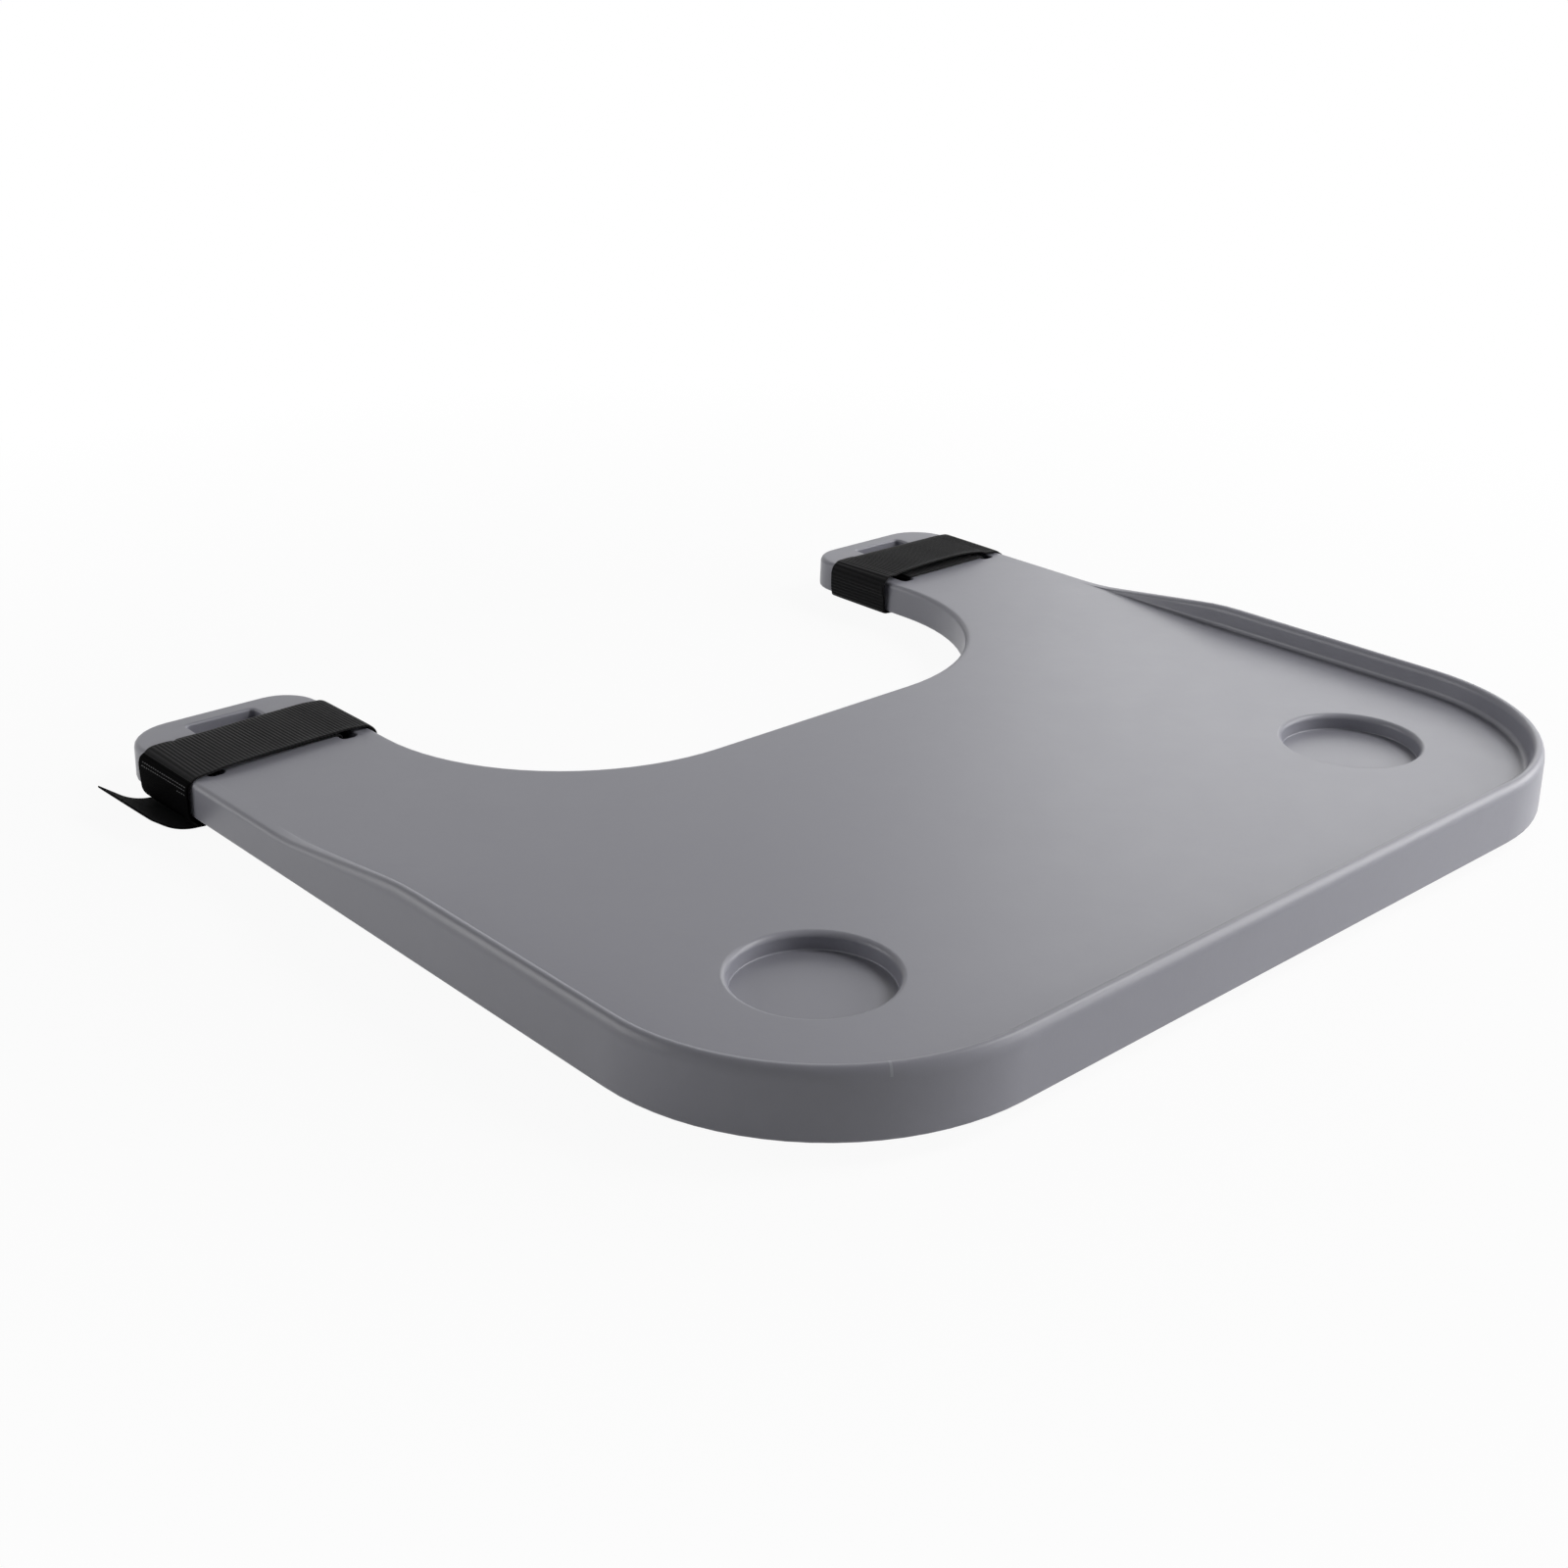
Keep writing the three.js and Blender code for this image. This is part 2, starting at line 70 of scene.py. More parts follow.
class Side(Enum):
    """The two sides of the chair, with the sign of X there."""

    LEFT = -1
    RIGHT = 1

    @property
    def word(self) -> str:
        """The side's name as the pieces are called."""
        return self.name.lower()


class Ribs(Enum):
    """How a strap's face is woven."""

    PLAIN = 0
    CROSS = 1


def linear(red: int, green: int, blue: int) -> Colour:
    """Turns a colour as seen on screen into the shader's linear values.

    Args:
        red: Red, from 0 to 255.
        green: Green, from 0 to 255.
        blue: Blue, from 0 to 255.

    Returns:
        The linear colour.
    """
    shares = (c / 255 for c in (red, green, blue))
    return tuple(s / 12.92 if s <= 0.04045 else ((s + 0.055) / 1.055) ** 2.4 for s in shares)


# Finishes


class Shading:
    """A node material while it is wired up.

    Args:
        name: The material's name.
        roughness: Roughness where nothing drives it.
        uniform: Values set on the shader's own sockets.
    """

    def __init__(self, name: str, roughness: float, uniform: dict[str, float]) -> None:
        """Starts the material with its plain values."""
        self.material = bpy.data.materials.new(name)
        self.material.use_nodes = True
        self.tree = self.material.node_tree
        self.shader = self.tree.nodes["Principled BSDF"]
        self.shader.inputs["Roughness"].default_value = roughness
        for socket, value in uniform.items():
            self.shader.inputs[socket].default_value = value

    def node(self, kind: str, values: dict | None = None, **settings: object) -> bpy.types.Node:
        """Adds a node.

        Args:
            kind: The node's type, without its ShaderNode prefix.
            values: Input socket to value, or to the output it is linked to.
            settings: Attributes of the node.

        Returns:
            The node.
        """
        made = self.tree.nodes.new("ShaderNode" + kind)
        for key, value in settings.items():
            setattr(made, key, value)
        for socket, value in (values or {}).items():
            if isinstance(value, Socket):
                self.tree.links.new(value, made.inputs[socket])
            else:
                made.inputs[socket].default_value = value
        return made

    def math(self, operation: str, *values: float | Socket) -> Socket:
        """Does one sum on numbers or outputs, and returns its output."""
        return self.node("Math", dict(enumerate(values)), operation=operation).outputs[0]

    def noise(self, where: Socket, scale: float, detail: float = 2) -> Socket:
        """Returns a noise between 0 and 1 at a place."""
        return self.node("TexNoise", {"Vector": where, "Scale": scale, "Detail": detail}).outputs["Fac"]

    def spread(self, value: Socket, low: float, high: float) -> Socket:
        """Spreads a value between 0 and 1 over a range."""
        return self.node("MapRange", {"Value": value, "To Min": low, "To Max": high}).outputs[0]

    def colours(self, share: Socket, first: Colour | Socket, second: Colour) -> Socket:
        """Mixes a colour or an output with a colour.

        Args:
            share: Share of the second colour.
            first: The first colour, or an output that holds it.
            second: The second colour.

        Returns:
            The mixed colour.
        """
        plain = first if isinstance(first, Socket) else (*first, 1)
        values = {"Factor": share, 6: plain, 7: (*second, 1)}
        return self.node("Mix", values, data_type="RGBA").outputs[2]

    def distance(self, where: Socket, centre: Point, axes: Point) -> Socket:
        """Distance of a place from a centre, counted along some axes only.

        Args:
            where: The place.
            centre: The centre.
            axes: 1 for each axis that counts, 0 for the others.

        Returns:
            The distance.
        """
        away = self.node("VectorMath", {0: where, 1: centre}, operation="SUBTRACT").outputs[0]
        flat = self.node("VectorMath", {0: away, 1: axes}, operation="MULTIPLY").outputs[0]
        return self.node("VectorMath", {0: flat}, operation="LENGTH").outputs["Value"]

    def bump(self, height: Socket, depth: float, strength: float) -> None:
        """Raises the surface.

        Args:
            height: The height, as a share of the depth.
            depth: Depth of the relief in metres.
            strength: How strongly it shows.
        """
        values = {"Height": height, "Distance": depth, "Strength": strength}
        normal = self.node("Bump", values).outputs[0]
        self.tree.links.new(normal, self.shader.inputs["Normal"])

    def drive(self, socket: str, value: Socket) -> None:
        """Links an output to a socket of the shader."""
        self.tree.links.new(value, self.shader.inputs[socket])


@dataclass(frozen=True)
class TrayPlastic:
    """Grey moulded plastic: nearly smooth, with the faint marks that the mould leaves.

    Attributes:
        pale: Colour where the cloudiness is lightest.
        deep: Colour where it is deepest.
        gates: Points of the recess floors where the plastic was fed in.
        gate_radius: Radius of the ring left there.
        gate_line: Half the width of that ring.
        gate_height: Its height, as a multiple of the relief.
        join: Point on the rim's crown where the mould's inserts meet.
        join_along: Direction along the rim there.
        join_width: Width of the witness line.
        join_reach: How far the line reaches from that point.
        join_height: Its height, as a multiple of the relief.
        join_painted_highlight: Paler colour painted along it, a painted highlight on the raised line.
        cloud_scale: Scale of the cloudiness.
        patch_scale: Scale of the patches of other gloss.
        roughness: Least and greatest roughness of those patches.
        grain_scale: Scale of the fine grain.
        ripple_scale: Scale of the broader ripple.
        ripple_height: Its height, as a multiple of the relief.
        relief: Depth of the surface's relief.
    """

    pale: Colour = linear(148, 148, 157)
    deep: Colour = linear(143, 143, 152)
    gates: tuple[Point, ...] = ((-0.2027, -0.1676, 0), (0.1926, -0.1676, 0))
    gate_radius: float = 0.0016
    gate_line: float = 0.00032
    gate_height: float = 3
    join: Point = (-0.2405, -0.2533, 0.0412)
    join_along: Point = (0.861, -0.509, 0)
    join_width: float = 0.0011
    join_reach: float = 0.0042
    join_height: float = 9
    # Paler colour on the witness line: a painted highlight, not a colour of the plastic.
    join_painted_highlight: Colour = linear(164, 164, 172)
    cloud_scale: float = 9
    patch_scale: float = 60
    roughness: tuple[float, float] = (0.33, 0.4)
    grain_scale: float = 1800
    ripple_scale: float = 140
    ripple_height: float = 2
    relief: float = 0.00006

    def material(self) -> Material:
        """Builds the material.

        Returns:
            The plastic, with its cloudiness, grain, gate marks, witness line and a painted highlight
            along that line.
        """
        shade = Shading("tray_plastic", 0.42, {"IOR": 1.5})
        where = shade.node("TexCoord").outputs["Object"]
        cloud = shade.noise(where, self.cloud_scale, 3)
        line = self._witness(shade, where)
        plain = shade.colours(cloud, self.deep, self.pale)
        # The witness line is painted paler: a painted highlight along the real raised line.
        shade.drive("Base Color", shade.colours(line, plain, self.join_painted_highlight))
        patch = shade.noise(where, self.patch_scale, 3)
        shade.drive("Roughness", shade.spread(patch, *self.roughness))
        grain = shade.noise(where, self.grain_scale)
        ripple = shade.math("MULTIPLY", shade.noise(where, self.ripple_scale), self.ripple_height)
        height = shade.math("ADD", grain, ripple)
        for gate in self.gates:
            away = shade.distance(where, gate, (1, 1, 0))
            off_ring = shade.math("ABSOLUTE", shade.math("SUBTRACT", away, self.gate_radius))
            on_ring = shade.math("LESS_THAN", off_ring, self.gate_line)
            ring = shade.math("MULTIPLY", on_ring, self.gate_height)
            height = shade.math("ADD", height, ring)
        height = shade.math("ADD", height, shade.math("MULTIPLY", line, self.join_height))
        shade.bump(height, self.relief, 0.5)
        return shade.material

    def _witness(self, shade: Shading, where: Socket) -> Socket:
        """Marks the thin line across the rim where the mould's inserts meet.

        Args:
            shade: The material.
            where: The place on the tray.

        Returns:
            1 on the line and 0 elsewhere.
        """
        off = shade.node("VectorMath", {0: where, 1: self.join}, operation="SUBTRACT").outputs[0]
        along = shade.node("VectorMath", {0: off, 1: self.join_along}, operation="DOT_PRODUCT")
        side = shade.math("ABSOLUTE", along.outputs["Value"])
        thin = shade.math("LESS_THAN", side, self.join_width / 2)
        near = shade.math("LESS_THAN", shade.distance(where, self.join, (1, 1, 1)), self.join_reach)
        return shade.math("MULTIPLY", thin, near)


@dataclass(frozen=True)
class WovenTape:
    """Black narrow fabric. Its pattern follows the strap: U along it and V across it, in metres.

    Attributes:
        name: The material's name.
        light: Colour of the raised yarns.
        dark: Colour between the raised yarns, which is painted shade in the gaps and in the grooves
            between ribs.
        along: Pitch of the yarns along the strap.
        across: Pitch of the yarns across it.
        depth: Depth of the weave's relief.
        roughness: Roughness of the fibres.
        sheen: Weight of the soft shine of fine fibres.
        gloss: Level of the plain reflection.
        low_warp: Height of the weave between two yarns of the warp, as a share of the yarn's.
        yarn_share: Share of the weave in the relief and in the painted shade.
        fluff_share: Share of the fine fibres in it.
        fluff_scale: Scale of those fibres.
        worn_scale: Scale of the worn patches.
        worn_tones: Least and greatest brightness of those patches.
    """

    name: str
    light: Colour
    dark: Colour
    along: float
    across: float
    depth: float
    roughness: float = 0.8
    sheen: float = 0.1
    gloss: float = 0.04
    low_warp: float = 0.55
    yarn_share: float = 0.85
    fluff_share: float = 0.25
    fluff_scale: float = 2600
    worn_scale: float = 45
    worn_tones: tuple[float, float] = (0.7, 1.25)

    def material(self) -> Material:
        """Builds the material.

        Returns:
            The fabric, woven along and across the strap, with fine fibres, worn patches and painted
            shade between the yarns.
        """
        uniform = {"Sheen Weight": self.sheen, "Sheen Roughness": 0.5, "Specular IOR Level": self.gloss}
        shade = Shading(self.name, self.roughness, uniform)
        place = shade.node("UVMap", uv_map="strap").outputs[0]
        parts = shade.node("SeparateXYZ", {0: place})
        warp = self._wave(shade, parts.outputs["Y"], self.across)
        weft = self._wave(shade, parts.outputs["X"], self.along)
        where = shade.node("TexCoord").outputs["Object"]
        fluff = shade.noise(where, self.fluff_scale, 3)
        worn = shade.noise(where, self.worn_scale, 3)
        weave = shade.math("MULTIPLY", shade.spread(warp, self.low_warp, 1), weft)
        yarns = shade.math("MULTIPLY", weave, self.yarn_share)
        raised = shade.math("ADD", yarns, shade.math("MULTIPLY", fluff, self.fluff_share))
        # The colour follows the relief: painted shade where it is low, between the yarns and, on the
        # webbing, in the grooves between its ribs. The fluff and the worn patches are real variation.
        tone = shade.math("MULTIPLY", raised, shade.spread(worn, *self.worn_tones))
        shade.drive("Base Color", shade.colours(tone, self.dark, self.light))
        shade.bump(raised, self.depth, 0.8)
        return shade.material

    @staticmethod
    def _wave(shade: Shading, place: Socket, pitch: float) -> Socket:
        """Rounded ridges along one direction.

        Args:
            shade: The material.
            place: Length along that direction.
            pitch: Pitch of the ridges.

        Returns:
            Their height, between 0 and 1.
        """
        turn = shade.math("MULTIPLY", place, 2 * math.pi / pitch)
        swing = shade.math("SINE", shade.math("SUBTRACT", turn, math.pi / 2))
        return shade.math("ADD", shade.math("MULTIPLY", swing, 0.5), 0.5)


@dataclass(frozen=True)
class Thread:
    """Black sewing thread, twisted and slightly shiny.

    Attributes:
        light: Colour of the raised fibres.
        dark: Colour between them, which is painted shade in the grooves of the twist.
        twist_scale: Scale of the twist.
        relief: Depth of its relief.
    """

    light: Colour = linear(38, 38, 41)
    dark: Colour = linear(12, 12, 14)
    twist_scale: float = 900
    relief: float = 0.00005

    def material(self) -> Material:
        """Builds the material.

        Returns:
            The twisted thread, darker in the grooves of its twist as painted shade.
        """
        shade = Shading("sewing_thread", 0.55, {"Sheen Weight": 0.15, "IOR": 1.5})
        where = shade.node("TexCoord").outputs["Object"]
        values = {"Vector": where, "Scale": self.twist_scale, "Distortion": 0.6}
        twist = shade.node("TexWave", values).outputs["Fac"]
        # The colour follows the twist's relief: painted shade in its grooves.
        shade.drive("Base Color", shade.colours(twist, self.dark, self.light))
        shade.bump(twist, self.relief, 0.6)
        return shade.material


# Shapes


def rank(face: bmesh.types.BMFace, base: int) -> int:
    """Ranks a face by its corners, so that the faces come in the same order each time.

    Args:
        face: The face.
        base: How many corners the mesh has.

    Returns:
        The indices of its corners, in rising order, as the digits of one number.
    """
    number = 0
    for index in sorted(vert.index for vert in face.verts):
        number = number * base + index
    return number


def finished(name: str, bm: bmesh.types.BMesh, material: Material) -> Object:
    """Turns a bmesh into an object at the origin, smooth and with its faces outwards.

    Args:
        name: The piece's name.
        bm: Its mesh, which is freed.
        material: Its finish.

    Returns:
        The object.
    """
    bmesh.ops.recalc_face_normals(bm, faces=bm.faces)
    for face in bm.faces:
        face.smooth = True
    mesh = bpy.data.meshes.new(name)
    bm.to_mesh(mesh)
    bm.free()
    mesh.materials.append(material)
    made = bpy.data.objects.new(name, mesh)
    bpy.context.scene.collection.objects.link(made)
    return made


@dataclass(frozen=True)
class Corner:
    """A corner of a strap's route.

    Attributes:
        out: Distance out from the arm's middle.
        up: Height above the floor.
        bend: Radius of the bend there.
        lie: Where the strap's near edge lies, from the slots' near end.
    """

    out: float
    up: float
    bend: float
    lie: float


class Route:
    """Middle line of a strap, seen along Y: straight runs, with each corner rounded.

    Args:
        corners: The corners in order.
        steps: Facets of each bend.
    """

    def __init__(self, corners: list[Corner], steps: int = 14) -> None:
        """Rounds the corners, and measures the route and the length at each corner's middle."""
        points: list[tuple[float, float, float]] = []
        middles: list[int] = []
        for i, corner in enumerate(corners):
            here = Vector((corner.out, corner.up))
            plain = i in (0, len(corners) - 1) or corner.bend <= 0
            middles.append(len(points) + (0 if plain else steps // 2))
            if plain:
                points.append((here.x, here.y, corner.lie))
                continue
            back = (Vector((corners[i - 1].out, corners[i - 1].up)) - here).normalized()
            ahead = (Vector((corners[i + 1].out, corners[i + 1].up)) - here).normalized()
            opening = back.angle(ahead)
            centre = here + (back + ahead).normalized() * corner.bend / math.sin(opening / 2)
            first = here + back * corner.bend / math.tan(opening / 2) - centre
            turn = math.copysign(math.pi - opening, back.x * ahead.y - back.y * ahead.x) * -1
            for k in range(steps + 1):
                spoke = first.copy()
                spoke.rotate(Matrix.Rotation(turn * k / steps, 2))
                points.append((centre.x + spoke.x, centre.y + spoke.y, corner.lie))
        self.points = np.array(points)
        steps_along = np.hypot(*np.diff(self.points[:, :2], axis=0).T)
        self.reach = np.concatenate([[0], np.cumsum(steps_along)])
        apart = self.reach + np.arange(len(points)) * NUDGE
        tangent = np.gradient(self.points[:, :2], apart, axis=0)
        self.tangent = tangent / np.linalg.norm(tangent, axis=1)[:, None]
        self.length = float(self.reach[-1])
        self.marks = [float(self.reach[i]) for i in middles]

    def at(self, along: float) -> tuple[float, float, float, float, float]:
        """Place on the route.

        Args:
            along: Length from the start.

        Returns:
            Out, up and lie there, and the out and up of the way across the strap's thickness.
        """
        out, up, lie = (float(np.interp(along, self.reach, self.points[:, i])) for i in range(3))
        t_out, t_up = (float(np.interp(along, self.reach, self.tangent[:, i])) for i in range(2))
        size = math.hypot(t_out, t_up)
        return out, up, lie, -t_up / size, t_out / size


@dataclass(frozen=True)
class Swell:
    """A stretch where a strap stands off what it lies on.

    Attributes:
        start: Where it starts along the strap.
        peak: Where it is highest.
        end: Where it ends.
        near: Its height at the strap's near edge.
        far: Its height at the far edge.
        roundness: Power of the sine that it follows: less than 1 gives a flatter top.
    """

    start: float
    peak: float
    end: float
    near: float
    far: float
    roundness: float = 0.55

    def height(self, along: float, near_share: float) -> float:
        """Height at a place.

        Args:
            along: Length along the strap.
            near_share: 1 at the near edge and 0 at the far edge.

        Returns:
            The height off the strap's route.
        """
        if not self.start < along < self.end:
            return 0.0
        rising = along < self.peak
        foot = self.start if rising else self.end
        share = (along - foot) / (self.peak - foot)
        rise = math.sin(math.pi / 2 * share) ** self.roundness
        return rise * (self.far + (self.near - self.far) * near_share)


@dataclass
class Strip:
    """A flat strap laid along a route.

    Attributes:
        route: Where its middle runs.
        side: The side of the chair.
        width: Width of the strap.
        thickness: Thickness of the strap.
        ribs: How its face is woven.
        skew: How much shorter it is along its near edge.
        swells: Where it stands off its route.
        skip: Length of the route left free at its start.
        feather: Length over which its start is pressed thin.
        pitch: Pitch of the cross ribs.
        groove: Depth of the grooves between them.
        step: Length of a facet.
        arm_middle: Distance of the arm's middle from the chair's.
        slot_near_end: Where the slots begin along the arm.
        section_points: Facets round the strap's section.
        squareness: Power of its rounded edges: the less, the squarer.
        rib_power: Power of the ribs' rounding: less than 1 gives flatter ribs.
        selvedge_power: Power by which the ribs die out at the edges.
        thinning: Share of its thickness that the feathered start loses.
        sinking: Share of half its thickness by which that start sinks.
    """

    route: Route
    side: Side
    width: float
    thickness: float
    ribs: Ribs = Ribs.PLAIN
    skew: float = 0
    swells: tuple[Swell, ...] = ()
    skip: float = 0
    feather: float = 0
    pitch: float = 0.00212
    groove: float = 0.0005
    step: float = 0.0008
    arm_middle: float = 0.2464
    slot_near_end: float = 0.187
    section_points: int = 28
    squareness: float = 0.28
    rib_power: float = 0.8
    selvedge_power: float = 12
    thinning: float = 0.8
    sinking: float = 1.1

    def mesh(self) -> bmesh.types.BMesh:
        """Rolls a grid into a flat tube, closes it and lays it along the route.

        Returns:
            The strip's mesh, with a UV map of its place along and across the strap.
        """
        rows = max(8, round(self.route.length / self.step))
        bm = bmesh.new()
        bmesh.ops.create_grid(bm, x_segments=rows, y_segments=self.section_points, size=0.5)
        uv = bm.loops.layers.uv.new("strap")
        for face in bm.faces:
            for loop in face.loops:
                share, turn = loop.vert.co.x + 0.5, loop.vert.co.y + 0.5
                across, _ = self._section(turn)
                loop[uv].uv = (share * self.route.length, across * self.width / 2)
        for vert in bm.verts:
            vert.co = self._place(vert.co.x + 0.5, vert.co.y + 0.5)
        bmesh.ops.remove_doubles(bm, verts=bm.verts, dist=SAME_PLACE / 2)
        ends = [e for e in bm.edges if e.is_boundary]
        bmesh.ops.holes_fill(bm, edges=ends)
        return bm

    def _section(self, turn: float) -> tuple[float, float]:
        """Point of the strap's section, which is flat with rounded edges.

        Args:
            turn: Share of the way round the section.

        Returns:
            The place across the strap and through its thickness, each from -1 to 1.
        """
        angle = 2 * math.pi * turn
        c, s = math.cos(angle), math.sin(angle)
        across = math.copysign(abs(c) ** self.squareness, c)
        return across, math.copysign(abs(s) ** self.squareness, s)

    def _place(self, share: float, turn: float) -> Vector:
        """Place of a point of the flat grid once the strap is laid.

        Args:
            share: Share of the strap's length.
            turn: Share of the way round its section.

        Returns:
            The point.
        """
        across, over = self._section(turn)
        near = (1 - across) / 2
        along = self.skip + share * (self.route.length - self.skip - self.skew * near)
        out, up, lie, n_out, n_up = self.route.at(along)
        half = self.thickness / 2
        if self.ribs is Ribs.CROSS:
            ridge = abs(math.sin(math.pi * along / self.pitch)) ** self.rib_power
            half -= self.groove * (1 - ridge) * (1 - abs(across) ** self.selvedge_power)
        off = sum(swell.height(along, near) for swell in self.swells)
        if along - self.skip < self.feather:
            thin = math.cos(math.pi / 2 * (along - self.skip) / self.feather) ** 2
            half *= 1 - self.thinning * thin
            off -= self.thickness / 2 * self.sinking * thin
        x = self.side.value * (self.arm_middle + out + n_out * (over * half + off))
        y = self.slot_near_end + lie + (across + 1) * self.width / 2
        return Vector((x, y, up + n_up * (over * half + off)))


@dataclass
class StitchRow:
    """A row of lockstitches across a strap.

    Attributes:
        strip: The strap that it is sewn through.
        along: Length along the strap's route.
        over: Which face it shows on: 1 or -1.
        margin: Distance left free at the near edge.
        far_margin: Distance left free at the far edge.
        pitch: Pitch of the stitches.
        thread: Radius of the thread.
        flatness: How flat the thread is pulled.
        stitch_share: Share of the pitch that half a stitch takes.
        proud_share: Share of the thread's radius by which its middle stands off the strap.
    """

    strip: Strip
    along: float
    over: float = 1
    margin: float = 0.0012
    far_margin: float = 0.002
    pitch: float = 0.0022
    thread: float = 0.00024
    flatness: float = 0.8
    stitch_share: float = 0.44
    proud_share: float = 0.2

    def add_to(self, bm: bmesh.types.BMesh) -> None:
        """Sews the row.

        Args:
            bm: The mesh that its stitches are added to.
        """
        strip = self.strip
        out, up, lie, n_out, n_up = strip.route.at(self.along)
        side = strip.side.value
        normal = Vector((side * n_out, 0, n_up))
        middle = Vector((side * (strip.arm_middle + out), strip.slot_near_end + lie, up))
        count = int((strip.width - self.margin - self.far_margin) / self.pitch)
        turn = Vector((1, 0, 0)).rotation_difference(normal).to_matrix().to_4x4()
        length = self.pitch * self.stitch_share / self.thread
        stretch = Matrix.Diagonal((self.flatness, length, 1, 1))
        for i in range(count):
            y = self.margin + (i + 0.5) * self.pitch
            off = sum(swell.height(self.along, 1 - y / strip.width) for swell in strip.swells)
            surface = off + self.over * (strip.thickness / 2 + self.thread * self.proud_share)
            place = Matrix.Translation(middle + normal * surface + Vector((0, y, 0)))
            stitch = bmesh.ops.create_uvsphere(bm, u_segments=8, v_segments=6, radius=self.thread)
            bmesh.ops.transform(bm, matrix=place @ turn @ stretch, verts=stitch["verts"])


# Sub-assemblies


@dataclass
class TrayMoulding:
    """The grey tray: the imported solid, with its doubles merged and its curves shaded smooth.

    Attributes:
        finish: Its plastic.
        crease: Angle past which an edge stays sharp.
        flat_weight: Weight of large faces in the shading of their edges.
    """

    finish: TrayPlastic = field(default_factory=TrayPlastic)
    crease: float = math.radians(32)
    flat_weight: int = 80

    def build(self) -> list[Object]:
        """Builds the tray and rides it on its body.

        Returns:
            The tray.
        """
        bm = bmesh.new()
        bm.from_mesh(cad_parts["tray_moulding"].data)
        bmesh.ops.remove_doubles(bm, verts=bm.verts, dist=SAME_PLACE)
        bmesh.ops.dissolve_degenerate(bm, edges=bm.edges, dist=SAME_PLACE)
        for face in bm.faces:
            face.smooth = True
        for edge in bm.edges:
            edge.smooth = len(edge.link_faces) == 2 and edge.calc_face_angle() < self.crease
        mesh = bpy.data.meshes.new("tray")
        bm.to_mesh(mesh)
        bm.free()
        mesh.materials.append(self.finish.material())
        tray = bpy.data.objects.new("tray", mesh)
        bpy.context.scene.collection.objects.link(tray)
        weighted = tray.modifiers.new("even_shading", "WEIGHTED_NORMAL")
        weighted.keep_sharp = True
        weighted.weight = self.flat_weight
        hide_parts("tray_moulding")
        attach(tray, "tray")
        return [tray]


@dataclass(frozen=True)
class StrapLie:
    """How a strap lies.

    Attributes:
        slots: Where its near edge lies at the slots, from the slots' near end.
        inner_side: Where it lies on the arm's inner side.
        outer_side: Where it lies on the arm's outer side.
        tuck: Where the hook tape's tucked end lies.
        tail: Where the free tail lies.
        inner_slack: How far it stands off the arm's inner side.
        outer_slack: How far it stands off the outer side.
        outer_bulge: Swell of the outer side at the far edge.
        inner_bulge: Swell of the inner side, at the near and the far edge.
        inner_shoulder: Swell of the near edge over the inner shoulder.
        top_bulge: Swell of the outer layer on top, at the near and the far edge.
        top_peak: Where that is highest, out from the arm's middle.
    """

    slots: float
    inner_side: float
    outer_side: float
    tuck: float
    tail: float
    inner_slack: float
    outer_slack: float
    outer_bulge: float
    inner_bulge: tuple[float, float]
    inner_shoulder: float
    top_bulge: tuple[float, float]
    top_peak: float


